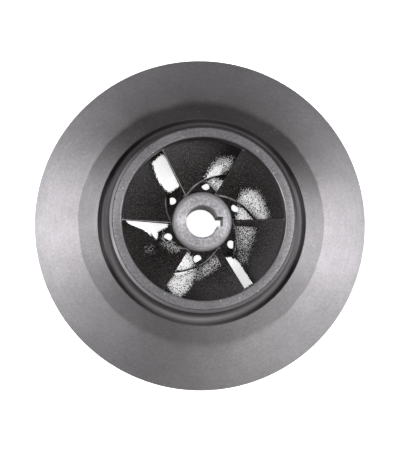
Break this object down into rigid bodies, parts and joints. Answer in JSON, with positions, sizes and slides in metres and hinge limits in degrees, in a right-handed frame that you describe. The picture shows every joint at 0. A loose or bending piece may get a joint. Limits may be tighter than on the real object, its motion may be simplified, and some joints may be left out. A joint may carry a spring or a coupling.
{
  "type": "closed pump impeller",
  "caption": "Closed, backward-swept impeller of a single-suction centrifugal pump, with a machined suction neck, keyed bore and balance holes.",
  "frame": {"origin": "on the axis, in the plane of the rear neck's face that the impeller lies on", "axes": "+Z is the axis towards the suction eye, +X runs through the keyway"},
  "size_m": [0.34, 0.34, 0.1088],
  "materials": {
    "coated_iron": "satin, dark coating over a turned surface",
    "machined_iron": "fine turned, bare",
    "as_cast_iron": "rough, as cast, black"
  },
  "bodies": {
    "root": {"front_shroud": "coated_iron", "suction_neck": "machined_iron", "back_shroud": "as_cast_iron", "rear_neck": "machined_iron", "hub": "machined_iron", "vane_1": "as_cast_iron", "vane_2": "as_cast_iron", "vane_3": "as_cast_iron", "vane_4": "as_cast_iron", "vane_5": "as_cast_iron", "vane_6": "as_cast_iron"}
  },
  "joints": []
}
